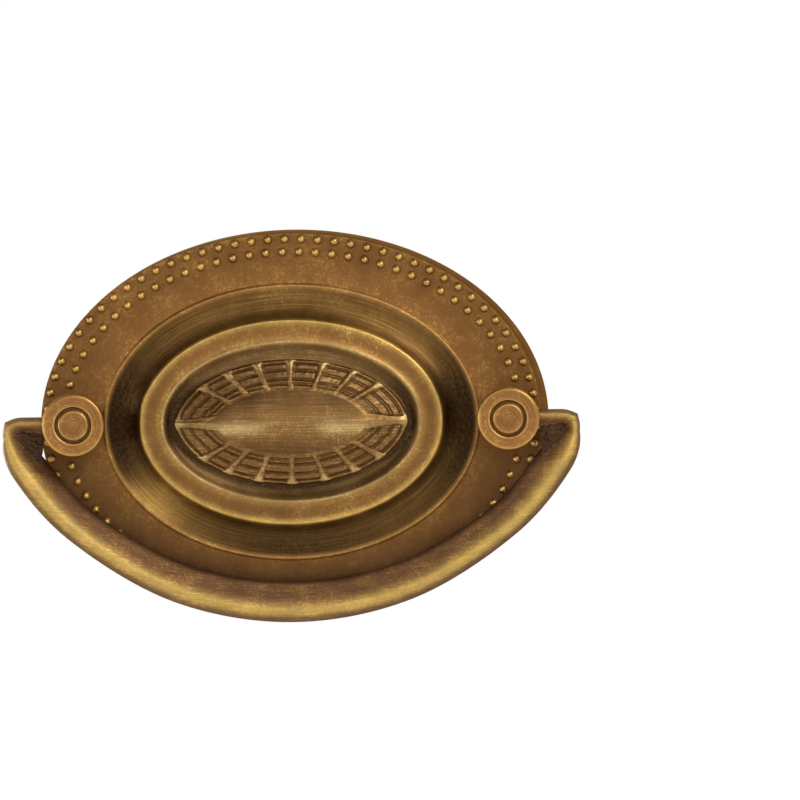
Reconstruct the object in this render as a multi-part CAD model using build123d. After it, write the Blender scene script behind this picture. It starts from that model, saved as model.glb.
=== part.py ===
from build123d import *
from math import asin, atan2, cos, degrees, hypot, radians, sin
import os

os.makedirs("parts", exist_ok=True)

# The pull is modelled as it hangs on a drawer front. X runs across it, Z is up, and the front faces
# minus Y. The plate's back edge lies on the drawer front at Y = 0, and heights are measured forward of it.

# Fixing: two threaded studs, a square nut on each
boring = 63.5
drawer_front = 19.0
thread_major_r = 2.08
thread_pitch_r = 1.83
thread_play = 0.03
stud_length = 30.0
stud_depth = 4.1
nut_width = 8.5
nut_height = 3.0

# Oval stamped plate, its long axis on the line of the posts
sheet = 0.8
band_h = 2.6
post_margin = 5.05
fold_b = 27.75
flare = 0.6
trim_shift = 0.5
shank_play = 0.1

# Rows of beads near the edge of the plate
edge_margin = 0.7
row_gap_a, row_gap_b = 2.6, 1.95
bead_pitch = 2.44
bead_r = 0.65
bead_rise = 0.55
bead_sides = 4

# Raised boss in the middle of the plate
step_a, step_b = 27.0, 19.6
step_rise, step_slope = 0.45, 0.7
boss_a, boss_b, boss_h = 22.25, 15.0, 5.3
ridge_a, ridge_b, ridge_rise = 19.0, 11.7, 0.2
groove_h = 4.5

# Ribbed almond dome on the boss
almond_a, almond_b = 17.0, 9.0
centre_a, centre_b, centre_h = 11.2, 4.75, 7.0
dome_h = 8.0
tip_rise = 0.4
point_drop = 0.13
panel_rows = 3
rib_r = 0.45
rib_step = 18

# Posts
shank_r = 2.6
barrel_r = 3.1
head_r = 4.57
head_low, head_top = 8.4, 10.4
ring_r, disc_r, ring_depth = 2.75, 1.9, 0.5
shank_end = 0.3

# Bail, hung on a line through both posts
axis_h = 6.0
pin_r = 1.1
pin_play = 0.05
pin_grip = 2.5
arm_gap = 0.35
arm_width, arm_crest, arm_back = 2.5, 1.4, 1.5
arm_reach = 7.75
corner_r, corner_turn = 0.3, 100
grip_crest, grip_back = 1.95, 2.5
grip_depth = 23.9
grip_width, grip_end_width = 5.45, 3.05
web_drop, web_depth, web_play = 1.95, 1.3, 0.15

post_x = boring / 2
fold_a = post_x + post_margin


def front_plane(h, x=0.0, z=0.0):
    return Plane((x, -h, z), x_dir=(1, 0, 0), z_dir=(0, -1, 0))


def oval(a, b, h, x=0.0):
    return (front_plane(h, x) * Ellipse(a, b)).face()


def pointed_oval(a, b, h):
    drop = point_drop * b
    reach = a / cos(asin(drop / (b + drop)))
    overlap = Pos(0, -drop) * Ellipse(reach, b + drop) & Pos(0, drop) * Ellipse(reach, b + drop)
    return (front_plane(h) * overlap).face()

def between(low, high, part):
    return low + (high - low) * part


# Backplate: skirt and flat band
edge = oval(fold_a + flare, fold_b + flare, 0, trim_shift)
plate = loft([edge, oval(fold_a, fold_b, band_h)], ruled=True)

# Backplate: low step around the boss, with a flat cove inside it
cove_h = band_h + 0.15
crest_h = band_h + step_rise
foot_a, foot_b = step_a + step_slope, step_b + step_slope
lip_a, lip_b = step_a - step_slope, step_b - step_slope
plate += loft([oval(foot_a, foot_b, band_h), oval(step_a, step_b, crest_h)], ruled=True)
plate -= loft([oval(step_a, step_b, crest_h), oval(lip_a, lip_b, cove_h)], ruled=True)

# Backplate: boss, its flared side, its flat band and the ridge and groove around the dome
boss_side = [
    oval(boss_a + 1.6, boss_b + 1.6, cove_h - 0.2),
    oval(boss_a + 1.6, boss_b + 1.6, cove_h),
    oval(boss_a + 0.9, boss_b + 0.9, cove_h + 0.6),
    oval(boss_a + 0.25, boss_b + 0.25, boss_h - 0.6),
    oval(boss_a - 0.1, boss_b - 0.1, boss_h),
]
plate += loft(boss_side, ruled=True)
ridge_h = boss_h + ridge_rise
floor_a, floor_b = ridge_a - 1.0, ridge_b - 1.0
plate += loft([oval(ridge_a + 0.5, ridge_b + 0.5, boss_h), oval(ridge_a, ridge_b, ridge_h)], ruled=True)
plate -= loft([oval(ridge_a - 0.1, ridge_b - 0.1, ridge_h), oval(floor_a, floor_b, groove_h)], ruled=True)

# Backplate: almond dome, rows of panels stepping up to a smooth centre rounded both ways
rim_h = groove_h + 0.75
plate += extrude(pointed_oval(almond_a, almond_b, groove_h - 0.2), rim_h - groove_h + 0.2)
for row in range(1, panel_rows):
    part_in = row / panel_rows
    row_a, row_b = between(almond_a, centre_a, part_in), between(almond_b, centre_b, part_in)
    plate += extrude(pointed_oval(row_a, row_b, rim_h), (centre_h - rim_h) * part_in)
crown = dome_h - centre_h
across_r = (centre_b**2 + crown**2) / (2 * crown)
along_r = (centre_a**2 + crown**2) / (2 * crown)
centre = extrude(pointed_oval(centre_a, centre_b, rim_h), dome_h - rim_h + tip_rise)
across = Plane((0, across_r - dome_h, 0), x_dir=(0, 1, 0), z_dir=(1, 0, 0))
centre &= across * Cylinder(across_r, 3 * centre_a)
along = Plane((0, along_r - dome_h - tip_rise, 0), x_dir=(0, 1, 0), z_dir=(0, 0, 1))
centre &= along * Cylinder(along_r, 3 * centre_b)
plate += centre

# Backplate: ribs between the panels
ribs = []
for side in (0, 180):
    for k in range(-3, 4):
        t = radians(side + 90 + rib_step * k)
        outer_end = Vector(almond_a * cos(t), -rim_h, almond_b * sin(t))
        inner_end = Vector(centre_a * cos(t), -centre_h, centre_b * sin(t))
        along = inner_end - outer_end
        across = along.cross(Vector(0, 1, 0))
        bar = Plane(outer_end, x_dir=across, z_dir=along) * RegularPolygon(rib_r, 4)
        ribs.append(extrude(bar, along.length))
plate += ribs

# Backplate: hollow back, one sheet thick, deeper behind the boss and the dome
inside_a, inside_b = fold_a - sheet, fold_b - sheet
edge_inside = oval(inside_a + flare, inside_b + flare, 0, trim_shift)
hollow = loft([edge_inside, oval(inside_a, inside_b, band_h - sheet)], ruled=True)
boss_inside = oval(boss_a - sheet, boss_b - sheet, 0)
hollow += extrude(boss_inside, groove_h - sheet)
dome_inside = oval(between(almond_a, centre_a, 0.6), between(almond_b, centre_b, 0.6), 0)
hollow += extrude(dome_inside, rim_h)
plate -= hollow

# Backplate: pointed beads, left out where the posts stand
quarter = 360 // bead_sides
base = [Vector(bead_r * cos(radians(k)), bead_r * sin(radians(k)), -0.1) for k in range(0, 360, quarter)]
tip = Vector(0, 0, bead_rise)
facets = [Face(Wire.make_polygon([base[k - 1], base[k], tip])) for k in range(bead_sides)]
bead = Solid(Shell([*facets, Face(Wire.make_polygon(base))]))
beads = []
for row in (0, 1):
    row_a = fold_a - edge_margin - row * row_gap_a
    row_b = fold_b - edge_margin - row * row_gap_b
    path = Ellipse(row_a, row_b).edge()
    count = round(path.length / bead_pitch)
    for i in range(count):
        spot = path.position_at((i + 0.5) / count)
        run = path.tangent_at((i + 0.5) / count)
        turn = degrees(atan2(run.Y, run.X))
        if hypot(abs(spot.X) - post_x, spot.Y) > barrel_r + bead_r + 0.1:
            beads.append(front_plane(band_h, spot.X, spot.Y) * Rot(0, 0, turn) * bead)
plate += beads

# Backplate: holes for the shanks of the posts
for x in (-post_x, post_x):
    plate -= front_plane(band_h / 2, x) * Cylinder(shank_r + shank_play, 2 * band_h)
export_step(plate, "parts/backplate.step")

# Posts: turned, shouldered on the plate, tapped at the back for the stud and drilled at the outer side
# for the bail's pin
half_outline = Polyline(
    (0, -shank_end),
    (shank_r, -shank_end),
    (shank_r, -band_h),
    (barrel_r, -band_h),
    (barrel_r, -head_low),
    (head_r, -head_low),
    (head_r, -head_top + 0.5),
    (head_r - 0.45, -head_top),
    (ring_r, -head_top),
    (ring_r, -head_top + ring_depth),
    (disc_r, -head_top + ring_depth),
    (disc_r, -head_top),
    (0, -head_top),
    close=True,
)
post = revolve(make_face(half_outline), Axis.Y)
from_face = (Align.CENTER, Align.CENTER, Align.MIN)
tapped_r = thread_pitch_r + thread_play
post -= Plane((0, 0, 0), z_dir=(0, -1, 0)) * Cylinder(tapped_r, stud_depth + 0.1, align=from_face)
hole_end = barrel_r - pin_grip - 0.2
pin_hole = Plane((hole_end, -axis_h, 0), z_dir=(1, 0, 0))
post -= pin_hole * Cylinder(pin_r + pin_play, 2 * barrel_r, align=from_face)
right_post = Pos(post_x, 0, 0) * post
export_step(right_post, "parts/right_post.step")
export_step(mirror(right_post, about=Plane.YZ), "parts/left_post.step")

# Studs: threaded from end to end, drawn at the pitch line where they are screwed into the post and the nut
stud_tail = stud_length - stud_depth
stud_outline = Polyline(
    (0, -stud_depth),
    (thread_pitch_r, -stud_depth),
    (thread_pitch_r, -shank_end + 0.05),
    (thread_major_r, -shank_end + 0.05),
    (thread_major_r, drawer_front),
    (thread_pitch_r, drawer_front),
    (thread_pitch_r, stud_tail),
    (0, stud_tail),
    close=True,
)
stud = revolve(make_face(stud_outline), Axis.Y)
export_step(Pos(post_x, 0, 0) * stud, "parts/right_stud.step")
export_step(Pos(-post_x, 0, 0) * stud, "parts/left_stud.step")

# Nuts: square, with softened corners and a tapped hole
nut = Pos(0, drawer_front + nut_height / 2, 0) * Box(nut_width, nut_height, nut_width)
nut = chamfer(nut.edges().filter_by(Axis.Y), 0.6)
nut -= Plane((0, drawer_front, 0), z_dir=(0, 1, 0)) * Cylinder(tapped_r, nut_height, align=from_face)
export_step(Pos(post_x, 0, 0) * nut, "parts/right_nut.step")
export_step(Pos(-post_x, 0, 0) * nut, "parts/left_nut.step")


# Bail: a flat-backed section with its crest near the outer edge, kept even along the arms and around the
# corners, and swelling through the grip
def bail_section(x, z, out_x, out_z, width, crest, back):
    place = Plane((x, -axis_h, z), x_dir=(out_x, 0, out_z), z_dir=(out_z, 0, -out_x))
    crown = Bezier((0, -back + 0.7), (0.3 * width, 0.2), (0.75 * width, 2.35 * crest), (width, -0.3))
    outline = [crown @ (k / 4) for k in range(5)]
    return (place * make_face(Polyline(*outline, (width - 0.25, -back), (0, -back), close=True))).face()


arm_end = post_x + barrel_r + arm_gap
arm_low = -arm_width / 2
corner_x = post_x + arm_reach
pivot_z = arm_low - corner_r
arm_face = bail_section(corner_x, arm_low, 0, 1, arm_width, arm_crest, arm_back)
end = extrude(arm_face, arm_end - corner_x)
end += revolve(arm_face, Axis((corner_x, -axis_h, pivot_z), (0, 1, 0)), corner_turn)
pin_start = Plane((arm_end + 0.6, -axis_h, 0), z_dir=(-1, 0, 0))
end += pin_start * Cylinder(pin_r, 0.6 + arm_gap + pin_grip, align=from_face)

turned = radians(90 - corner_turn)
first_x, first_z = corner_x + corner_r * cos(turned), pivot_z + corner_r * sin(turned)
sections = [bail_section(first_x, first_z, cos(turned), sin(turned), arm_width, arm_crest, arm_back)]
sag = grip_depth + pivot_z
grip_r = (corner_x**2 + sag**2) / (2 * sag)
for angle in (54, 40, 20, 0, -20, -40, -54):
    t = radians(angle)
    x, z = grip_r * sin(t), grip_r * (1 - cos(t)) - grip_depth
    width = between(grip_end_width, grip_width, cos(t))
    sections.append(bail_section(x, z, sin(t), -cos(t), width, grip_crest, grip_back))
sections.append(bail_section(-first_x, first_z, -cos(turned), sin(turned), arm_width, arm_crest, arm_back))

# Bail: rough web that fills each inner corner, set back from the front and clear of the post's head
web_x = post_x + head_r + web_play
tip_turn = asin(web_x / grip_r)
tip_z = grip_r * (1 - cos(tip_turn)) - grip_depth
web_outline = Polyline(
    (web_x, arm_low + 0.5),
    (corner_x + 0.6, arm_low + 0.5),
    (web_x + 1.5, tip_z + 0.4),
    (web_x + 0.2, tip_z - 0.3),
    (web_x + 0.6, arm_low - 1.6 * web_drop),
    (web_x, arm_low - web_drop),
    close=True,
)
end += extrude(front_plane(axis_h - arm_back) * make_face(web_outline), web_depth)
bail = loft(sections) + end + mirror(end, about=Plane.YZ)
export_step(bail, "parts/bail.step")
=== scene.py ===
import math
import bmesh
import bpy
import numpy as np
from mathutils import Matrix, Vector, geometry, noise


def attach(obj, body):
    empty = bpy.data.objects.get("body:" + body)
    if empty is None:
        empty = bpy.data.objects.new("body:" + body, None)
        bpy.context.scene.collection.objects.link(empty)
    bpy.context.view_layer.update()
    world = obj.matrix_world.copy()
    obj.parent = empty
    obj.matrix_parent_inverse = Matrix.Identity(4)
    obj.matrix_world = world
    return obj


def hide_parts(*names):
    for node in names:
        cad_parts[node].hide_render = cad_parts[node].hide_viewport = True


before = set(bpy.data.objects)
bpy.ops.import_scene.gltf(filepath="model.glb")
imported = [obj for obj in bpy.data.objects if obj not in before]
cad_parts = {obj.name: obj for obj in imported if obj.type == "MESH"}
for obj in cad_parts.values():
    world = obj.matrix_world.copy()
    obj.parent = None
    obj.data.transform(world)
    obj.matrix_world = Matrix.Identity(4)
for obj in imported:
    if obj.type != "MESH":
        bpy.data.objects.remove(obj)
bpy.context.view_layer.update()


# Backplate. One oval of thin brass sheet stamped in a press: a flared skirt, a flat band with two rows of
# small beads, a low step, a broad cove, and a raised boss that carries a ribbed almond dome. Its face is
# browned, then brushed around the oval so that the ridges and bead tips shine through.

# sizes are in millimetres: a and b are half an oval's width and height, h its height off the drawer front
band_h, pocket_h = 2.6, 5.2
fold_a, fold_b = 36.8, 27.75
post_x, post_hole_r, post_sides = 31.75, 2.7, 40
plate_columns = 560
turn = np.linspace(0, 2 * np.pi, plate_columns, endpoint=False)


def oval_ring(a, b, h, shift=0.0):
    return np.stack([a * np.cos(turn) + shift, np.full_like(turn, -h), b * np.sin(turn)], axis=1)


def almond_ring(a, b, h, point):
    """A ring on two equal arcs that meet at the left and right, sharper there as point grows."""
    drop = point * b
    tip_angle = math.asin(point / (1 + point))
    reach = a / math.cos(tip_angle)
    half = np.mod(turn, np.pi)
    lean = tip_angle + half * (np.pi - 2 * tip_angle) / np.pi
    side = np.where(turn < np.pi, 1.0, -1.0)
    x = reach * np.cos(lean) * side
    z = ((b + drop) * np.sin(lean) - drop) * side
    return np.stack([x, np.zeros_like(x) - h, z], axis=1)


def eased(keys, per_step):
    """Rows of numbers passing smoothly through the key rows, with a few steps between each pair."""
    keys = np.array(keys, dtype=float)
    before = np.vstack([keys[:1], keys[:-1]])
    after = np.vstack([keys[1:], keys[-1:]])
    lean = (after - before) / 2
    lean[np.abs(after - keys) < 1e-9] = 0
    lean[np.abs(keys - before) < 1e-9] = 0
    rows = [keys[:1]]
    for i in range(len(keys) - 1):
        s = (np.arange(1, per_step + 1) / per_step)[:, None]
        rows.append((2 * s**3 - 3 * s**2 + 1) * keys[i] + (s**3 - 2 * s**2 + s) * lean[i]
                    + (3 * s**2 - 2 * s**3) * keys[i + 1] + (s**3 - s**2) * lean[i + 1])
    return np.vstack(rows)


def soft(x):
    x = np.clip(x, 0, 1)
    return x * x * (3 - 2 * x)


# rings of the pocket behind the boss, then of the skirt, each given by how far it lies outside the fold,
# its h, and how far it is shifted to the right, because the edge was trimmed a little off centre
pocket_rows = [(16.0, 8.4, pocket_h), (16.4, 8.8, 3.75), (21.0, 13.8, 3.7), (21.4, 14.2, 1.85)]
skirt_rows = [
    (-1.2, 1.8, 0.0), (-0.8, 1.6, 0.05), (-0.28, 0.1, 0.45), (-0.18, 0.0, 0.5), (0.52, 0.0, 0.5),
    (0.6, 0.1, 0.5), (0.32, 1.3, 0.25), (0.07, 2.45, 0.03), (0.04, 2.54, 0.0), (-0.01, 2.59, 0.0),
    (-0.06, band_h, 0.0),
]
back_rings = [oval_ring(a, b, h) for a, b, h in pocket_rows]
back_rings += [oval_ring(fold_a + out, fold_b + out, h, shift) for out, h, shift in skirt_rows]

# rings of the step, the cove, the boss, its ridge and the groove around the dome: a, b, h, rubbed and grimy
boss_keys = [
    (27.9, 20.5, band_h, 0.0, 0.0), (27.78, 20.38, 2.68, 0.05, 0.0), (27.6, 20.2, 2.86, 0.2, 0.0),
    (27.42, 20.02, 2.95, 0.35, 0.0), (27.2, 19.8, 2.91, 0.1, 0.2), (26.6, 19.2, 2.81, 0.05, 0.42),
    (25.6, 18.2, 2.76, 0.08, 0.42), (24.6, 17.25, 2.8, 0.08, 0.38), (23.6, 16.3, 3.15, 0.12, 0.38),
    (22.9, 15.65, 3.85, 0.15, 0.36), (22.5, 15.27, 4.7, 0.2, 0.25), (22.32, 15.1, 5.1, 0.8, 0.0),
    (22.12, 14.9, 5.28, 1.0, 0.0), (21.85, 14.65, 5.3, 0.6, 0.0), (21.2, 14.0, 5.25, 0.1, 0.1),
    (20.2, 12.95, 5.22, 0.08, 0.12), (19.5, 12.25, 5.28, 0.25, 0.0), (19.15, 11.9, 5.42, 0.45, 0.0),
    (18.95, 11.7, 5.45, 0.5, 0.0), (18.72, 11.45, 5.36, 0.2, 0.1), (18.35, 11.0, 5.0, 0.1, 0.3),
    (17.9, 10.35, 4.6, 0.12, 0.4), (17.45, 9.7, 4.47, 0.1, 0.5), (17.15, 9.2, 4.55, 0.05, 0.6),
]
boss_rows = eased(boss_keys, 2)
boss_rings = [oval_ring(a, b, h) for a, b, h, wear_and_highlight, grime_and_shade in boss_rows]

# the rings of the boss are darker at their two ends, partly with patina and partly with painted shade;
# painted shade also darkens their lowest part and lightens their top, and one stroke at the lower left of
# the cove is a painted highlight
cove_outer_a, cove_inner_a = 27.1, 22.15
boss_band_outer_a, boss_band_inner_a = 21.5, 18.6
low_side = np.clip(-np.sin(turn), 0, 1)
high_side = np.clip(np.sin(turn), 0, 1)
uneven_patina_and_shade = 1 + 1.6 * np.cos(turn)**4 + 1.1 * low_side**6 - 0.35 * high_side**2
painted_highlight_stroke = np.exp(-((turn - math.radians(218)) / 0.22)**2)
ring_wear_and_highlight, ring_grime_and_shade = [], []
for a, b, h, wear_and_highlight, grime_and_shade in boss_rows:
    in_cove = a > cove_inner_a
    on_boss_band = boss_band_inner_a < a < boss_band_outer_a
    ring_wear_and_highlight.append(wear_and_highlight + 0.35 * painted_highlight_stroke * (in_cove and grime_and_shade >= 0.2))
    # painted shade darkens the lower half of the boss band
    ring_grime_and_shade.append(grime_and_shade * uneven_patina_and_shade * (1 - 0.9 * painted_highlight_stroke * in_cove) + 0.16 * low_side * on_boss_band)

# rings of the dome's wall, which stands in the groove
almond_a, almond_b, tip_point = 17.0, 9.0, 0.13
wall_rows = [(0.12, 4.62), (0.06, 5.0)]
wall_rings = [almond_ring(almond_a + out, almond_b + out, h, tip_point) for out, h in wall_rows]
ring_wear_and_highlight += [np.full(plate_columns, 0.05)] * len(wall_rows)
ring_grime_and_shade += [np.full(plate_columns, 0.6)] * len(wall_rows)

# rings of the dome's border, where smooth ribs part windows that hold nested bars, with q running from 0
# at the rim to 1 at the centre
rim_h, window_depth = 5.25, 0.3
centre_a, centre_b, centre_h = 11.2, 4.75, 7.0
border_a, border_b = 14, 7
rib_step, rib_half_wide, rib_slope, rib_rise, rib_notch = 18, 0.36, 0.26, 0.3, 0.13
bar_gap, bar_slope, tip_rise, dent_deep = 0.14, 0.16, 0.2, 0.07
bars = [(0.115, 0.33), (0.385, 0.64), (0.69, 0.80), (0.85, 0.94)]
bar_lean = np.array([0.31, -0.2, 0.12, -0.33, 0.26, 0.05, -0.14, 0.33, -0.27, 0.18]) * 0.12
rib_angles = np.radians([side + 90 + rib_step * k for side in (0, 180) for k in range(-3, 4)] + [0, 180])
from_rib = np.min(np.abs(np.angle(np.exp(1j * (turn[:, None] - rib_angles[None, :])))), axis=1)
from_rib = from_rib * np.hypot(border_a * np.sin(turn), border_b * np.cos(turn))
panel = np.floor(np.mod(turn - np.pi / 2 + 1e-6, 2 * np.pi) / math.radians(rib_step)).astype(int)
bar_shift = bar_lean[panel % len(bar_lean)]
at_tip = np.abs(np.cos(turn)) > math.cos(math.radians(rib_step))
dome_rings = []
for q in np.linspace(0, 1, 60):
    rib_half = rib_half_wide + 0.2 * (1 - q)**8 + np.where(at_tip, 1.3 * q**2, 0.0)
    rib = soft(1 - (from_rib - rib_half) / rib_slope)
    beside = soft((from_rib - rib_half - bar_gap) / bar_slope)
    bar_q = q + bar_shift * soft(3 * q) * soft(3 * (1 - q))
    bar = np.max([soft(np.minimum(bar_q - low, high - bar_q) / 0.04) for low, high in bars], axis=0)
    edge = soft((0.075 - q) / 0.03)
    raised = np.max([0.88 * bar * beside, np.full_like(turn, edge), rib], axis=0)
    raised = 1 - (1 - raised) * soft((1.04 - q) / 0.34)
    rib_crest = np.clip(1 - (from_rib / (rib_half + 0.15))**2, 0, 1)
    crest = np.where(at_tip, np.exp(-from_rib / 0.8), rib_crest)
    spots = [Vector((14 * math.cos(t), 8 * math.sin(t), 4 * q)) * 1.9 for t in turn]
    bumps = np.array([noise.noise(spot) for spot in spots])
    h = rim_h + (centre_h - rim_h) * q - window_depth * (1 - raised)
    h = h + rib_rise * crest * soft(2.5 * (1 - q)) * soft(6 * q + 0.5)
    h = h + np.where(at_tip, tip_rise * crest * soft(1.5 * q), 0.0)
    h = h + dent_deep * bumps * soft(8 * q) * soft(6 * (1 - q))
    notch = rib_notch * rib * soft((0.12 - q) / 0.12)
    a = almond_a + (centre_a - almond_a) * q + notch
    b = almond_b + (centre_b - almond_b) * q + notch
    dome_rings.append(almond_ring(a, b, h, tip_point))
    lit_side = np.where(at_tip & (np.sin(turn) < 0), 0.35 * rib * q, 0.0)
    rib_ends = 0.7 * crest * soft((0.3 - q) / 0.3)
    ring_wear_and_highlight.append(np.clip(0.08 * rib + rib_ends + 0.15 * bumps + lit_side, 0, 1))
    ring_grime_and_shade.append(np.clip(0.62 * (1 - raised) + 0.1 * bar * beside * (1 - rib), 0.03, 1))

# rings of the plain crown in the middle, with a low keel where it runs into the two tips
dome_top, keel_rise = 8.05, 0.2
crown_rings = []
for k in (0.985, 0.95, 0.9, 0.83, 0.75, 0.66, 0.56, 0.45, 0.34, 0.23, 0.12, 0.04):
    lift = dome_top - (dome_top - centre_h) * k**1.9
    crown = almond_ring(centre_a * k, centre_b * k, lift, tip_point * k**3 + 1e-4)
    sideways, rise = np.abs(crown[:, 0]), crown[:, 2]
    crown[:, 1] -= keel_rise * np.exp(-np.abs(rise) / 0.8) * soft((sideways - 3) / 6)
    crown_rings.append(crown)
    # painted light on the crown: a painted highlight along its middle and below the keel near the tips, and
    # painted shade at its top and bottom edges and above the keel
    near_tips = soft((sideways - 2.5) / 4) * soft((13 - sideways) / 3)
    below_keel_highlight = 0.7 * np.exp(-((rise + 1.0) / 0.8)**2) * near_tips
    ring_wear_and_highlight.append(0.15 * np.exp(-((rise + 0.3) / 1.2)**2) + below_keel_highlight)
    above_keel = soft((rise + 0.1) / 0.6) * soft((sideways - 3) / 4)
    ring_grime_and_shade.append(0.5 * soft((np.abs(rise + 0.4) - 1.2) / 3) + 0.3 * above_keel)
inner_rings = boss_rings + wall_rings + dome_rings + crown_rings


def ring_faces(first, second, columns):
    i = np.arange(columns)
    j = (i + 1) % columns
    return np.stack([first + i, first + j, second + j, second + i], axis=1).tolist()


def tube_faces(start, rows, columns):
    faces = []
    for row in range(rows - 1):
        faces += ring_faces(start + row * columns, start + (row + 1) * columns, columns)
    return faces


def cap_faces(centre, start, columns):
    return [[start + k, start + (k + 1) % columns, centre] for k in range(columns)]


back_centre = len(back_rings) * plate_columns
fold_start = back_centre - plate_columns
inner_start = back_centre + 1
front_centre = inner_start + len(inner_rings) * plate_columns
plate_points = np.vstack(back_rings + [[[0, -pocket_h, 0]]] + inner_rings + [[[0, -dome_top, 0]]])
plate_faces = tube_faces(0, len(back_rings), plate_columns)
plate_faces += cap_faces(back_centre, 0, plate_columns)
plate_faces += tube_faces(inner_start, len(inner_rings), plate_columns)
plate_faces += cap_faces(front_centre, front_centre - plate_columns, plate_columns)

# two rows of beads at one pitch, left out where the heads of the posts stand
bead_sides, bead_high, bead_pitch, bead_clear = 14, 0.68, 2.44, 3.85
bead_profile = [(0.72, 0.0), (0.66, 0.05), (0.58, 0.2), (0.47, 0.4), (0.32, 0.56), (0.16, 0.65)]
bead_foot = bead_profile[0][0]
bead_rows = [(35.95, 26.9, 0.0), (33.7, 25.0, 0.25)]
bead_spots = []
fine = np.linspace(0, 2 * np.pi, 20001)
for row_a, row_b, shift in bead_rows:
    run = np.hypot(row_a * np.sin(fine), row_b * np.cos(fine))
    length = np.concatenate([[0], np.cumsum((run[1:] + run[:-1]) / 2 * np.diff(fine))])
    count = round(length[-1] / bead_pitch)
    angle = np.interp((np.arange(count) + 0.5) / count * length[-1], length, fine)
    bead_spots += list(zip(row_a * np.cos(angle) + shift, row_b * np.sin(angle)))
bead_spots = [(x, z) for x, z in bead_spots if math.hypot(abs(x) - post_x, z) > bead_clear]

# the flat band is cut to take the foot of each bead and the two posts
band_points = [Vector((x, z)) for x, y, z in np.vstack([back_rings[-1], inner_rings[0]])]
band_index = [start + k for start in (fold_start, inner_start) for k in range(plate_columns)]
loops = [list(range(plate_columns)), list(range(plate_columns, 2 * plate_columns))]
foot_points = []


def cut_hole(x, z, radius, sides):
    loops.append([])
    for k in range(sides):
        bend = 2 * math.pi * k / sides
        loops[-1].append(len(band_points))
        band_points.append(Vector((x + radius * math.cos(bend), z + radius * math.sin(bend))))
        band_index.append(len(plate_points) + len(foot_points))
        foot_points.append((band_points[-1][0], -band_h, band_points[-1][1]))


for x, z in bead_spots:
    cut_hole(x, z, bead_foot, bead_sides)
for x in (-post_x, post_x):
    cut_hole(x, 0.0, post_hole_r, post_sides)
edges = [(loop[i - 1], loop[i]) for loop in loops for i in range(len(loop))]
cut_points, _, cut_faces, cut_from, _, _ = geometry.delaunay_2d_cdt(band_points, edges, [], 0, 1e-6)
plate_index = {new: band_index[olds[0]] for new, olds in enumerate(cut_from) if olds}
hole_spots = np.array(bead_spots + [(-post_x, 0.0), (post_x, 0.0)])
hole_r = np.array([bead_foot] * len(bead_spots) + [post_hole_r] * 2)
step_a, step_b = boss_keys[0][:2]
for face in cut_faces:
    middle = sum((cut_points[k] for k in face), Vector((0, 0))) / len(face)
    inside = (middle[0] / step_a)**2 + (middle[1] / step_b)**2 < 1
    outside = (middle[0] / fold_a)**2 + (middle[1] / fold_b)**2 > 1
    in_hole = np.any(np.hypot(hole_spots[:, 0] - middle[0], hole_spots[:, 1] - middle[1]) < hole_r - 0.01)
    if not (inside or outside or in_hole) and all(k in plate_index for k in face):
        plate_faces.append([plate_index[k] for k in face])

# each bead rises from its own foot
foot_start = len(plate_points)
bead_points = list(foot_points)
for number, (x, z) in enumerate(bead_spots):
    below = foot_start + number * bead_sides
    for radius, rise in bead_profile[1:]:
        above = foot_start + len(bead_points)
        for k in range(bead_sides):
            bend = 2 * math.pi * k / bead_sides
            out_x, out_z = radius * math.cos(bend), radius * math.sin(bend)
            bead_points.append((x + out_x, -band_h - rise, z + out_z))
        plate_faces += ring_faces(below, above, bead_sides)
        below = above
    plate_faces += cap_faces(foot_start + len(bead_points), below, bead_sides)
    bead_points.append((x, -band_h - bead_high, z))
plate_points = np.vstack([plate_points, bead_points])

# wear, grime and painted light at each point of the plate: bright on ridges and bead tips, dark in the sunk
# places, darker all over on the back and skirt, and painted shade on the flat band
plate_wear_and_highlight = np.zeros(len(plate_points))
plate_grime_and_shade = np.zeros(len(plate_points))
plate_wear_and_highlight[inner_start:front_centre] = np.clip(np.concatenate(ring_wear_and_highlight), 0, 1)
plate_grime_and_shade[inner_start:front_centre] = np.clip(np.concatenate(ring_grime_and_shade), 0, 1)
plate_wear_and_highlight[front_centre] = 0.25
plate_grime_and_shade[:fold_start] = 0.5
on_band = np.abs(plate_points[:, 1] + band_h) < 1e-6
# painted shade: the flat band is darker towards the bottom
plate_grime_and_shade[on_band] = np.clip(0.2 - plate_points[on_band, 2] / 62, 0, 1)
bead_start = foot_start + len(foot_points)
bead_rise = -plate_points[bead_start:, 1] - band_h
plate_wear_and_highlight[bead_start:] = np.clip((bead_rise - 0.12) / 0.3, 0, 1)
plate_grime_and_shade[bead_start:] = np.clip(0.7 - bead_rise / 0.25, 0, 1)
plate_grime_and_shade[foot_start:foot_start + len(bead_spots) * bead_sides] += 0.35


def solid_mesh(name, points, faces, crease=None):
    mesh = bpy.data.meshes.new(name)
    mesh.from_pydata((np.array(points) / 1000).tolist(), [], faces)
    form = bmesh.new()
    form.from_mesh(mesh)
    bmesh.ops.recalc_face_normals(form, faces=form.faces)
    form.to_mesh(mesh)
    form.free()
    mesh.polygons.foreach_set("use_smooth", [True] * len(mesh.polygons))
    if crease:
        mesh.set_sharp_from_angle(angle=math.radians(crease))
    return mesh


def marks_of_wear_and_light(mesh, wear_and_highlight, grime_and_shade):
    mesh.attributes.new("wear_and_highlight", "FLOAT", "POINT").data.foreach_set("value", wear_and_highlight)
    mesh.attributes.new("grime_and_shade", "FLOAT", "POINT").data.foreach_set("value", grime_and_shade)


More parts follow.
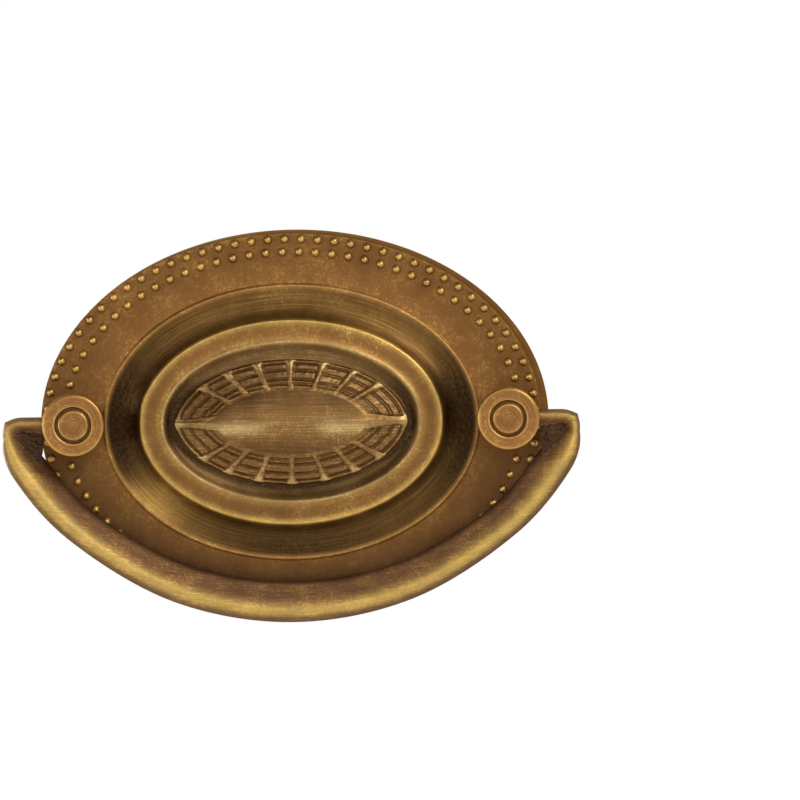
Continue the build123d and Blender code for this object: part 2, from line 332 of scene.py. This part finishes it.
plate_mesh = solid_mesh("backplate", plate_points, plate_faces)
facing = np.array([v.normal for v in plate_mesh.vertices])
facing[on_band] = (0, -1, 0)
plate_mesh.normals_split_custom_set_from_vertices(facing.tolist())
marks_of_wear_and_light(plate_mesh, plate_wear_and_highlight, plate_grime_and_shade)


def run_along(points):
    return np.concatenate([[0], np.cumsum(np.linalg.norm(np.diff(points, axis=0), axis=1))])


def brush_marks(mesh, marks, full_turn):
    corner = np.zeros(len(mesh.loops), dtype=int)
    mesh.loops.foreach_get("vertex_index", corner)
    laid = np.array(marks)[corner]
    for face in mesh.polygons:
        own = slice(face.loop_start, face.loop_start + face.loop_total)
        if laid[own, 0].max() - laid[own, 0].min() > full_turn / 2:
            laid[own, 0] += np.where(laid[own, 0] < full_turn / 2, full_turn, 0)
    mesh.uv_layers.new(name="brush").data.foreach_set("uv", laid.ravel())
    return corner


# brushing direction: one coordinate runs along the brush strokes and the other across them. The strokes go
# around the oval on the boss, and lengthwise over the dome
plate_brush_turn, dome_brush_start = 120, 30
brush = np.zeros((len(plate_points), 2))
brush[inner_start:front_centre, 0] = np.tile(turn, len(inner_rings)) / (2 * np.pi) * plate_brush_turn
middle_line = np.array([ring[plate_columns // 4] for ring in inner_rings])
brush[inner_start:front_centre, 1] = np.repeat(run_along(middle_line), plate_columns)
dome_start = inner_start + (len(boss_rings) + len(wall_rings)) * plate_columns
brush[dome_start:front_centre + 1, 0] = dome_brush_start + plate_points[dome_start:front_centre + 1, 0]
brush[dome_start:front_centre + 1, 1] = plate_points[dome_start:front_centre + 1, 2]
loop_vertex = brush_marks(plate_mesh, brush, plate_brush_turn)


def browned_brass(name, brown, bright, dark, rough, brushed=0.0, streak=(0.08, 8.0), patchy=0.9, coat=0.15):
    """Brass browned all over, bare metal where it is rubbed through and where a highlight is painted, and
    dark where it is grimy and where shade is painted.
    """
    finish = bpy.data.materials.new(name)
    finish.use_nodes = True
    tree = finish.node_tree
    shader = tree.nodes["Principled BSDF"]

    def feed(slot, value):
        if hasattr(value, "is_output"):
            tree.links.new(value, slot)
        else:
            slot.default_value = value

    def node(kind, **inputs):
        made = tree.nodes.new("ShaderNode" + kind)
        for key, value in inputs.items():
            feed(made.inputs[key], value)
        return made

    def mixed(part, first, second):
        made = node("Mix")
        made.data_type = "RGBA"
        for number, value in ((0, part), (6, first), (7, second)):
            feed(made.inputs[number], value)
        return made.outputs[2]

    def combined(kind, first, second):
        made = node("Math")
        made.operation = kind
        made.use_clamp = kind == "ADD"
        feed(made.inputs[0], first)
        feed(made.inputs[1], second)
        return made.outputs[0]

    def spread(source, low, high, to_low=0.0, to_high=1.0):
        ends = {"From Min": low, "From Max": high, "To Min": to_low, "To Max": to_high}
        return node("MapRange", Value=source, **ends).outputs[0]

    def marked(attribute):
        made = node("Attribute")
        made.attribute_name = attribute
        return made.outputs["Fac"]

    # browning in blotches and specks, and hairlines left by the brush
    spot = node("Mapping", Vector=node("TexCoord").outputs["Object"], Location=(0.0137, 0.0071, 0.0193))
    blotch = node("TexNoise", Vector=spot.outputs[0], Scale=220.0, Detail=8.0, Roughness=0.72).outputs[0]
    speck = node("TexNoise", Vector=spot.outputs[0], Scale=2600.0, Detail=3.0, Roughness=0.6).outputs[0]
    strokes = node("UVMap")
    strokes.uv_map = "brush"
    line = node("Mapping", Vector=strokes.outputs[0], Scale=(1 / streak[0], 1 / streak[1], 1))
    line.vector_type = "TEXTURE"
    hair = node("TexNoise", Vector=line.outputs[0], Scale=1.0, Detail=6.0, Roughness=0.7).outputs[0]
    hairs = spread(hair, 0.32, 0.68, -0.6 * brushed, 0.6 * brushed)

    # where the brown is rubbed through and where a highlight is painted, and flecks of bare metal
    tone = combined("ADD", spread(blotch, 0.3, 0.7, -0.28, 0.28), spread(speck, 0.3, 0.7, -0.3, 0.3))
    thin_brown = combined("MULTIPLY", combined("ADD", tone, hairs), patchy)
    fleck = combined("MULTIPLY", spread(speck, 0.64, 0.70), spread(blotch, 0.55, 0.66, 0.0, 0.7))
    bare_metal_and_highlight = combined("ADD", combined("ADD", marked("wear_and_highlight"), thin_brown), fleck)

    # colour, with dirt in the sunk places and painted shade
    grain = combined("ADD", blotch, combined("ADD", hairs, spread(speck, 0.3, 0.7, -0.12, 0.12)))
    tint = node("VectorMath", Vector=mixed(bare_metal_and_highlight, (*brown, 1), (*bright, 1)))
    tint.operation = "SCALE"
    feed(tint.inputs["Scale"], spread(grain, 0.25, 0.75, 0.68, 1.24))
    darkened = combined("MULTIPLY", marked("grime_and_shade"), spread(speck, 0.25, 0.75, 0.7, 1.15))
    feed(shader.inputs["Base Color"], mixed(darkened, tint.outputs[0], (*dark, 1)))

    # gloss and fine relief
    blotch_rough = spread(blotch, 0.25, 0.75, rough - 0.07, rough + 0.09)
    feed(shader.inputs["Roughness"], combined("ADD", blotch_rough, spread(bare_metal_and_highlight, 0, 1, 0.03, -0.08)))
    shader.inputs["Metallic"].default_value = 1.0
    shader.inputs["Specular Tint"].default_value = (*bright, 1)
    if brushed == 1:
        shader.inputs["Anisotropic"].default_value = 0.85
        shader.inputs["Anisotropic Rotation"].default_value = 0.25
        lay = node("Tangent")
        lay.direction_type = "UV_MAP"
        lay.uv_map = "brush"
        feed(shader.inputs["Tangent"], lay.outputs[0])
    shader.inputs["Coat Weight"].default_value = coat
    shader.inputs["Coat Roughness"].default_value = 0.32
    relief = combined("ADD", combined("MULTIPLY", speck, 0.5), combined("MULTIPLY", hair, brushed))
    bump = node("Bump", Strength=0.25, Distance=0.00006, Height=relief)
    feed(shader.inputs["Normal"], bump.outputs[0])
    return finish


# three finishes of the one sheet: satin on the band, brushed in the cove, and half brushed on the dome
satin_brown = browned_brass(
    "plate_satin", (0.375, 0.170, 0.047), (0.80, 0.52, 0.15), (0.05, 0.024, 0.010), rough=0.52, coat=0.08)
brushed_brown = browned_brass(
    "plate_brushed", (0.25, 0.118, 0.034), (0.62, 0.38, 0.09), (0.045, 0.022, 0.009), rough=0.42,
    brushed=1.0, coat=0.05)
dome_brown = browned_brass(
    "plate_dome", (0.30, 0.146, 0.045), (0.76, 0.53, 0.21), (0.05, 0.026, 0.010), rough=0.47,
    brushed=0.45, streak=(0.1, 6.0), coat=0.06)
plate_finishes = [satin_brown, brushed_brown, dome_brown]
for finish in plate_finishes:
    plate_mesh.materials.append(finish)
groove_outer_a = 19.2
zone = np.full(len(inner_rings) - 1, plate_finishes.index(dome_brown))
for row, a in enumerate(boss_rows[:, 0]):
    if a >= groove_outer_a:
        in_cove = cove_inner_a < a < cove_outer_a
        zone[row] = plate_finishes.index(brushed_brown if in_cove else satin_brown)
ring_of = np.full(len(plate_points), -1)
ring_of[inner_start:front_centre] = np.arange(front_centre - inner_start) // plate_columns
loop_ring = ring_of[loop_vertex]
kinds = np.zeros(len(plate_mesh.polygons), dtype=int)
for face in plate_mesh.polygons:
    rings = loop_ring[face.loop_start:face.loop_start + face.loop_total]
    if rings.min() >= 0 and rings[0] < len(zone):
        kinds[face.index] = zone[rings[0]]
plate_mesh.polygons.foreach_set("material_index", kinds)
plate = bpy.data.objects.new("stamped_plate", plate_mesh)
bpy.context.scene.collection.objects.link(plate)
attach(plate, "base")
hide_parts("backplate")


# Posts. Two turned brass knobs that hold the plate to the drawer front: a short shank through the plate, a
# barrel drilled at its outer side for the bail's pin, and a round head with a turned ring groove.
axis_h = 6.0
bore_r, bore_start, bore_deep = 1.15, 0.4, 6
post_profile = [  # radius, h, rubbed and grimy, from the threaded hole behind to the middle of the head
    (0, 4.2, 0, 1), (2.12, 4.2, 0, 1), (2.12, 0.45, 0, 1), (2.2, 0.3, 0.3, 0), (2.5, 0.3, 0.3, 0),
    (2.6, 0.4, 0.3, 0), (2.6, 2.6, 0.1, 0.4), (3.1, 2.6, 0.1, 0.4), (3.1, 7.9, 0.15, 0.2),
    (3.2, 8.2, 0.1, 0.3), (3.5, 8.38, 0.1, 0.3), (4.2, 8.4, 0.2, 0), (4.45, 8.5, 0.4, 0),
    (4.57, 8.75, 0.4, 0), (4.57, 9.85, 0.5, 0), (4.52, 10.12, 0.9, 0), (4.38, 10.32, 0.9, 0),
    (4.18, 10.38, 0.4, 0), (3.9, 10.37, 0.12, 0), (3.4, 10.33, 0.1, 0), (3.05, 10.32, 0.15, 0),
    (2.85, 10.34, 0.6, 0), (2.74, 10.3, 0.9, 0), (2.66, 10.16, 0.2, 0.6), (2.55, 10.02, 0.1, 0.8),
    (2.36, 10.02, 0.1, 0.8), (2.24, 10.1, 0.2, 0.6), (2.14, 10.24, 0.8, 0), (2.0, 10.31, 0.6, 0),
    (1.8, 10.33, 0.15, 0.05), (1.2, 10.36, 0.08, 0.05), (0.4, 10.38, 0.2, 0), (0, 10.38, 0.2, 0),
]
bore_profile = [(0, 0, 0, 1), (bore_r, 0, 0, 1), (bore_r, bore_deep, 0, 1), (0, bore_deep, 0, 1)]


def lathe_mesh(name, profile, sides):
    points, faces, brush, wear_and_highlight, grime_and_shade = [], [], [], [], []
    brush_turn = 20
    run = run_along(np.array(profile)[:, :2])
    for (radius, h, bright, darkened), far in zip(profile, run):
        for k in range(sides if radius > 0 else 1):
            bend = 2 * math.pi * k / sides
            points.append((radius * math.cos(bend), -h, radius * math.sin(bend)))
            brush.append((brush_turn * k / sides, far))
            wear_and_highlight.append(bright)
            grime_and_shade.append(darkened)
    start = 0
    for (r0, *_), (r1, *_) in zip(profile, profile[1:]):
        if r0 == 0:
            faces += [face[::-1] for face in cap_faces(start, start + 1, sides)]
            start += 1
        elif r1 == 0:
            faces += cap_faces(start + sides, start, sides)
        else:
            faces += ring_faces(start, start + sides, sides)
            start += sides
    mesh = solid_mesh(name, points, faces, crease=50)
    marks_of_wear_and_light(mesh, wear_and_highlight, grime_and_shade)
    brush_marks(mesh, brush, brush_turn)
    return mesh


post_brass = browned_brass(
    "post_brass", (0.34, 0.140, 0.041), (0.74, 0.43, 0.12), (0.05, 0.025, 0.01), rough=0.48,
    brushed=0.5, streak=(0.12, 6.0))
for side, x in (("left", -post_x), ("right", post_x)):
    post = bpy.data.objects.new(side + "_turned_post", lathe_mesh(side + "_post", post_profile, 96))
    post.location = (x / 1000, 0, 0)
    bpy.context.scene.collection.objects.link(post)
    drill = bpy.data.objects.new("drill", lathe_mesh("drill", bore_profile, 32))
    drill.location = ((x + math.copysign(bore_start, x)) / 1000, -axis_h / 1000, 0)
    drill.rotation_euler = (0, 0, math.copysign(math.pi / 2, x))
    bpy.context.scene.collection.objects.link(drill)
    cut = post.modifiers.new("pin hole", "BOOLEAN")
    cut.object = drill
    bpy.context.view_layer.objects.active = post
    bpy.ops.object.modifier_apply(modifier=cut.name)
    bpy.data.objects.remove(drill)
    post.data.materials.append(post_brass)
    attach(post, "base")
    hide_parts(side + "_post")


# Bail. One cast brass handle: two short arms with round pins that turn in the posts, tight corners, and a
# swelling grip that is flat behind and crowned in front. It is browned and rubbed bright along its crown.
arm_start, corner_x, corner_r, pivot_z = 35.2, 39.5, 0.3, -1.55
corner_bend, corner_mitre = 100, 0.32
grip_depth, grip_crown, grip_back, grip_end_wide, grip_swell = 23.9, 1.95, 2.5, 3.05, 2.4
arm_wide, arm_crown, arm_back = 2.5, 1.4, 1.5
sag = grip_depth + pivot_z
grip_r = (corner_x**2 + sag**2) / (2 * sag)


def corner_spot(bend):
    t = math.radians(bend)
    return corner_x + corner_r * math.sin(t), pivot_z + corner_r * math.cos(t)


def mirrored(rows):
    return [(-x, z, 180 - lean, *section) for x, z, lean, *section in rows[::-1]]


# stations from the right arm round to the left one: x, z, lean, width, crown, back, and room added inside
bail_keys = [(*corner_spot(corner_bend), corner_bend - 90, arm_wide, arm_crown, arm_back, 0.0)]
for angle, inner in ((54, 0.75), (40, 0.4), (20, 0.3), (0, 0.4)):
    t = math.radians(angle)
    x, z = grip_r * math.sin(t), grip_r * (1 - math.cos(t)) - grip_depth
    width = grip_end_wide + grip_swell * math.cos(t)
    bail_keys.append((x, z, 90 - angle, width, grip_crown, grip_back, inner))
grip_stations = eased(bail_keys + mirrored(bail_keys[:-1]), 22).tolist()
arm_stations = []
for x in np.linspace(arm_start, corner_x, 8):
    arm_stations.append((x, pivot_z + corner_r, -90.0, arm_wide, arm_crown, arm_back, 0.0))
for bend in np.linspace(0, corner_bend, 15)[1:-1]:
    mitre = 1 + corner_mitre * (1 / math.cos(math.radians(min(bend, corner_bend - bend))) - 1)
    arm_stations.append((*corner_spot(bend), bend - 90, arm_wide * mitre, arm_crown, arm_back, 0.0))
stations = arm_stations + grip_stations + mirrored(arm_stations)

# the section at each station: a crowned front, then a rounded edge and a flat back
crown_count = 22
s = np.linspace(0, 1, crown_count)[:, None]
bail_points, bail_rubbed, bail_grime_and_shade, bail_brush = [], [], [], []
for x, z, lean, width, crest, back, inner in stations:
    pull = np.array([(0.0, 0.7 - back), (0.3 * width, 0.2), (0.75 * width, 2.35 * crest), (width, -0.3)])
    front = (1 - s)**3 * pull[0] + 3 * (1 - s)**2 * s * pull[1]
    front = front + 3 * (1 - s) * s**2 * pull[2] + s**3 * pull[3]
    behind = [
        (width + 0.02, -0.45), (width - 0.1, -back + 0.5), (width - 0.22, -back + 0.12),
        (width - 0.4, -back), (width * 0.5, -back), (0.18, -back), (0.05, -back + 0.06), (0.0, -back + 0.2),
    ]
    t = math.radians(lean)
    side_on = abs(x) / 42
    on_arm = soft((abs(lean - 90) - 90) / 60)
    for k, (part, forward) in enumerate([*front, *behind]):
        share = part / width
        part = share * (width + inner) - inner
        bail_points.append((x + part * math.cos(t), -axis_h - forward, z - part * math.sin(t)))
        bail_brush.append((bail_points[-1][0], bail_points[-1][2] - 0.004 * x**2))
        up_to_crown = np.clip((share - 0.42 + 0.14 * side_on) / 0.28, 0, 1)
        crowned = up_to_crown * np.clip((0.9 - share) / 0.12, 0, 1)
        bail_rubbed.append(crowned * 0.9 * (1 - 0.3 * on_arm) if k < crown_count else 0.1)
        # dark patina on the inner part of the grip, with a painted contact shadow along its inner edge, and
        # darker at its outer edge
        inner_patina_and_shadow = 0.9 - (9 - 5.5 * side_on * (1 - on_arm)) * share
        bail_grime_and_shade.append(np.clip(max(inner_patina_and_shadow, 4 * share - 3.4), 0, 1) if k < crown_count else 0.3)
around_bail = len(bail_points) // len(stations)
bail_faces = tube_faces(0, len(stations), around_bail)
bail_faces.append(list(range(around_bail))[::-1])
bail_faces.append(list(range(len(bail_points) - around_bail, len(bail_points))))
bail_mesh = solid_mesh("bail", bail_points, bail_faces, crease=60)
never_wraps = 1000
marks_of_wear_and_light(bail_mesh, bail_rubbed, bail_grime_and_shade)
brush_marks(bail_mesh, bail_brush, never_wraps)
bail_brass = browned_brass(
    "bail_brass", (0.39, 0.207, 0.108), (0.76, 0.52, 0.15), (0.04, 0.022, 0.013), rough=0.70,
    brushed=0.4, streak=(0.25, 8.0), patchy=1.2)
bail_mesh.materials.append(bail_brass)
bail = bpy.data.objects.new("cast_bail", bail_mesh)
bpy.context.scene.collection.objects.link(bail)

# the bail's pins and the rough webs in its inner corners are one casting with it
pin_start, pin_r, pin_long, pin_chamfer = 32.35, 1.1, 3.45, 0.1
pin_profile = [
    (0, 0, 0, 1), (pin_r - pin_chamfer, 0, 0, 1), (pin_r, pin_chamfer, 0, 1), (pin_r, pin_long, 0, 1),
    (0, pin_long, 0, 1),
]
web_x, web_back_h, web_front_h = 36.47, 4.63, 5.8
web_outline = [(web_x, -0.75), (40.7, -0.75), (38.7, -5.4), (36.9, -6.3), (36.75, -4.9), (web_x, -3.6)]
for way in (-1, 1):
    pin = bpy.data.objects.new("pin", lathe_mesh("pin", pin_profile, 32))
    pin.location = (way * pin_start / 1000, -axis_h / 1000, 0)
    pin.rotation_euler = (0, 0, way * math.pi / 2)
    web_form = bmesh.new()
    low = [web_form.verts.new((way * x / 1000, -web_back_h / 1000, z / 1000)) for x, z in web_outline]
    face = web_form.faces.new(low)
    grown = bmesh.ops.extrude_face_region(web_form, geom=[face])
    for v in grown["geom"]:
        if isinstance(v, bmesh.types.BMVert):
            v.co.y = -web_front_h / 1000
    bmesh.ops.recalc_face_normals(web_form, faces=web_form.faces)
    bmesh.ops.triangulate(web_form, faces=web_form.faces)
    bmesh.ops.subdivide_edges(web_form, edges=web_form.edges, cuts=11, use_grid_fill=True)
    for v in web_form.verts:
        share = (-v.co.y * 1000 - web_back_h) / (web_front_h - web_back_h)
        slope = (abs(v.co.x) * 1000 - web_x) * 0.22 - 0.4
        v.co.y -= 0.001 * share * (0.25 * noise.noise(v.co * 2600) + slope)
    web_mesh = bpy.data.meshes.new("web")
    web_form.to_mesh(web_mesh)
    web_form.free()
    marks_of_wear_and_light(web_mesh, [0.0] * len(web_mesh.vertices), [0.78] * len(web_mesh.vertices))
    brush_marks(web_mesh, [(v.co.x * 1000, v.co.z * 1000) for v in web_mesh.vertices], never_wraps)
    web = bpy.data.objects.new("web", web_mesh)
    for added in (pin, web):
        added.data.materials.append(bail_brass)
        bpy.context.scene.collection.objects.link(added)
        joined = bail.modifiers.new("cast on", "BOOLEAN")
        joined.operation = "UNION"
        joined.solver = "MANIFOLD"
        joined.object = added
        bpy.context.view_layer.objects.active = bail
        bpy.ops.object.modifier_apply(modifier=joined.name)
        bpy.data.objects.remove(added)
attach(bail, "bail")
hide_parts("bail")


# Studs. Two lengths of bright brass rod threaded from end to end, 32 threads to the inch, with their ends
# chamfered. One is screwed into the back of each post and passes through the drawer front.
pitch = 25.4 / 32
stud_front, stud_back = 4.1, -25.9
thread_root, thread_deep, root_flat, flank_part = 1.58, 0.5, 0.08, 0.33
end_r, end_slope = 1.55, 1.2
stud_rows, stud_sides, stud_brush_turn = 400, 36, 13
stud_h = np.linspace(stud_front, stud_back, stud_rows)
stud_turn = np.linspace(0, 2 * np.pi, stud_sides, endpoint=False)
phase = np.mod(stud_h[:, None] / pitch - stud_turn[None, :] / (2 * np.pi), 1.0)
flank = np.clip((np.abs(phase - 0.5) - root_flat) / flank_part, 0, 1)
from_end = np.minimum(stud_front - stud_h, stud_h - stud_back)[:, None]
thread = np.minimum(thread_root + thread_deep * flank, end_r + from_end * end_slope)
stud_y = np.repeat(-stud_h[:, None], stud_sides, 1)
stud_points = np.stack([thread * np.cos(stud_turn), stud_y, thread * np.sin(stud_turn)], axis=2)
stud_points = np.vstack([stud_points.reshape(-1, 3), [[0, -stud_front, 0], [0, -stud_back, 0]]])
stud_rubbed = np.append(flank.ravel() * 0.8, [0.2, 0.2])
stud_grimy = np.append(0.5 - 0.5 * flank.ravel(), [0.2, 0.2])
stud_brush = [(stud_brush_turn * k / stud_sides, h) for h in stud_h for k in range(stud_sides)]
stud_brush += [(0, stud_front), (0, stud_back)]
tip = stud_rows * stud_sides
tail = tip + 1
stud_faces = tube_faces(0, stud_rows, stud_sides)
stud_faces += cap_faces(tip, 0, stud_sides)
stud_faces += cap_faces(tail, tip - stud_sides, stud_sides)
fixing_brass = browned_brass(
    "fixing_brass", (0.74, 0.47, 0.10), (0.92, 0.70, 0.24), (0.30, 0.16, 0.03), rough=0.22,
    brushed=0.3, streak=(0.15, 5.0), coat=0.0)
for side, x in (("left", -post_x), ("right", post_x)):
    stud_mesh = solid_mesh(side + "_stud", stud_points, stud_faces, crease=35)
    marks_of_wear_and_light(stud_mesh, stud_rubbed, stud_grimy)
    brush_marks(stud_mesh, stud_brush, stud_brush_turn)
    stud_mesh.materials.append(fixing_brass)
    stud = bpy.data.objects.new(side + "_threaded_stud", stud_mesh)
    stud.location = (x / 1000, 0, 0)
    bpy.context.scene.collection.objects.link(stud)
    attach(stud, "base")
    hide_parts(side + "_stud")


# Nuts. A square pressed brass nut with rounded corners on each stud, run up against the back of the drawer
# front. The hole is countersunk on both faces.
nut_sides = 80
nut_seat, nut_back, nut_half, nut_corner = 19.0, 22.0, 4.25, 1.3
nut_hole_r, front_sink_r, back_sink_r, front_sink, back_sink = 2.12, 2.45, 2.5, 0.35, 0.4
nut_edge = [(0.3, 0.0), (0.08, 0.06), (0.0, 0.25)]
nut_turn = np.linspace(0, 2 * np.pi, nut_sides, endpoint=False)


def nut_ring(inset, y):
    half, corner = nut_half - inset, nut_corner - inset * 0.5
    far = np.maximum(np.abs(np.cos(nut_turn)), np.abs(np.sin(nut_turn)))
    box_x, box_z = np.cos(nut_turn) / far * half, np.sin(nut_turn) / far * half
    core = half - corner
    out_x = np.sign(box_x) * np.maximum(np.abs(box_x) - core, 0)
    out_z = np.sign(box_z) * np.maximum(np.abs(box_z) - core, 0)
    reach = np.maximum(np.hypot(out_x, out_z), 1e-9)
    both = (np.abs(box_x) > core) & (np.abs(box_z) > core)
    x = np.where(both, np.sign(box_x) * core + out_x / reach * corner, box_x)
    z = np.where(both, np.sign(box_z) * core + out_z / reach * corner, box_z)
    return np.stack([x, np.full_like(x, y), z], axis=1)


def hole_ring(radius, y):
    x, z = radius * np.cos(nut_turn), radius * np.sin(nut_turn)
    return np.stack([x, np.full_like(x, y), z], axis=1)


nut_rings = [hole_ring(nut_hole_r, nut_seat + front_sink), hole_ring(front_sink_r, nut_seat)]
nut_rings += [nut_ring(inset, nut_seat + deep) for inset, deep in nut_edge]
nut_rings += [nut_ring(inset, nut_back - deep) for inset, deep in nut_edge[::-1]]
nut_rings += [hole_ring(back_sink_r, nut_back), hole_ring(nut_hole_r, nut_back - back_sink)]
nut_points = np.vstack(nut_rings)
nut_faces = tube_faces(0, len(nut_rings), nut_sides)
nut_faces += ring_faces(len(nut_points) - nut_sides, 0, nut_sides)
for side, x in (("left", -post_x), ("right", post_x)):
    nut_mesh = solid_mesh(side + "_nut", nut_points, nut_faces, crease=30)
    brush_marks(nut_mesh, nut_points[:, [0, 2]], never_wraps)
    nut_mesh.materials.append(fixing_brass)
    nut = bpy.data.objects.new(side + "_square_nut", nut_mesh)
    nut.location = (x / 1000, 0, 0)
    bpy.context.scene.collection.objects.link(nut)
    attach(nut, "base")
    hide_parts(side + "_nut")


# Studio. A white wall far behind the pull and a pale floor well below it, a large soft lamp above and to
# the right of the camera, and weaker ones in front, at the lower left, at the left and behind.
camera_far, view_wide, film_wide = 840, 118.06, 36
camera_x, camera_z, camera_roll = 0.0160, 0.00295, 0.92
camera_data = bpy.data.cameras.new("camera")
camera = bpy.data.objects.new("camera", camera_data)
bpy.context.scene.collection.objects.link(camera)
camera.location = (camera_x, -camera_far / 1000, camera_z)
camera.rotation_euler = (math.radians(90), math.radians(camera_roll), 0)
camera_data.sensor_width = film_wide
camera_data.lens = film_wide * camera_far / view_wide
bpy.context.scene.camera = camera
bpy.context.scene.view_settings.view_transform = "Standard"


def soft_lamp(name, place, wide, high, watts):
    data = bpy.data.lights.new(name, "AREA")
    data.shape = "RECTANGLE"
    data.size, data.size_y = wide, high
    data.energy = watts
    lamp = bpy.data.objects.new(name, data)
    lamp.location = place
    lamp.rotation_euler = (-Vector(place)).to_track_quat("-Z", "Y").to_euler()
    lamp.visible_camera = False
    bpy.context.scene.collection.objects.link(lamp)


soft_lamp("key", (0.62, -0.75, 0.74), 0.6, 0.5, 5.9)
soft_lamp("fill", (-0.62, -0.8, -0.62), 0.8, 0.8, 3.4)
soft_lamp("front", (-0.1, -1.05, 0.42), 0.8, 0.4, 1.6)
soft_lamp("side", (-1.1, -0.45, 0.12), 0.3, 0.6, 2.2)
soft_lamp("rear", (-0.4, 1.2, -0.05), 0.9, 0.4, 10)


def flat_sheet(name, corners, colour, glow):
    """A painted sheet that is nearer to white, by the share glow, as the camera, metal and glass see it."""
    mesh = bpy.data.meshes.new(name)
    mesh.from_pydata(corners, [], [(0, 1, 2, 3)])
    sheet = bpy.data.objects.new(name, mesh)
    bpy.context.scene.collection.objects.link(sheet)
    paint = bpy.data.materials.new(name)
    paint.use_nodes = True
    tree = paint.node_tree
    matt = tree.nodes["Principled BSDF"]
    matt.inputs["Base Color"].default_value = (*colour, 1)
    matt.inputs["Roughness"].default_value = 0.9
    white = tree.nodes.new("ShaderNodeEmission")
    ray = tree.nodes.new("ShaderNodeLightPath")
    seen = ray.outputs["Is Camera Ray"]
    for kind in ("Is Glossy Ray", "Is Transmission Ray"):
        either = tree.nodes.new("ShaderNodeMath")
        either.operation = "MAXIMUM"
        tree.links.new(seen, either.inputs[0])
        tree.links.new(ray.outputs[kind], either.inputs[1])
        seen = either.outputs[0]
    share = tree.nodes.new("ShaderNodeMath")
    share.operation = "MULTIPLY"
    share.inputs[1].default_value = glow
    tree.links.new(seen, share.inputs[0])
    lit = tree.nodes.new("ShaderNodeMixShader")
    tree.links.new(share.outputs[0], lit.inputs[0])
    tree.links.new(matt.outputs[0], lit.inputs[1])
    tree.links.new(white.outputs[0], lit.inputs[2])
    tree.links.new(lit.outputs[0], tree.nodes["Material Output"].inputs[0])
    mesh.materials.append(paint)


floor_z, wall_y, far_off = -0.3, 2, 40
floor_corners = [(x, y, floor_z) for x, y in (
    (-far_off, -far_off), (far_off, -far_off), (far_off, wall_y), (-far_off, wall_y))]
wall_corners = [(x, wall_y, z) for x, z in ((-4, floor_z), (4, floor_z), (4, 3), (-4, 3))]
flat_sheet("floor", floor_corners, (0.8, 0.8, 0.79), 0.5)
flat_sheet("wall", wall_corners, (0.85, 0.85, 0.85), 1.0)

# the world is white up to a little over the horizon, past the floor's far edge, and dim above that
world = bpy.data.worlds.new("studio")
bpy.context.scene.world = world
world.use_nodes = True
air = world.node_tree
direction = air.nodes.new("ShaderNodeTexCoord")
parts = air.nodes.new("ShaderNodeSeparateXYZ")
air.links.new(direction.outputs["Generated"], parts.inputs[0])
level = air.nodes.new("ShaderNodeMapRange")
level.inputs["From Min"].default_value = 0.06
level.inputs["From Max"].default_value = 0.14
level.inputs["To Min"].default_value = 1.0
level.inputs["To Max"].default_value = 0.12
air.links.new(parts.outputs["Z"], level.inputs["Value"])
air.links.new(level.outputs[0], air.nodes["Background"].inputs["Color"])
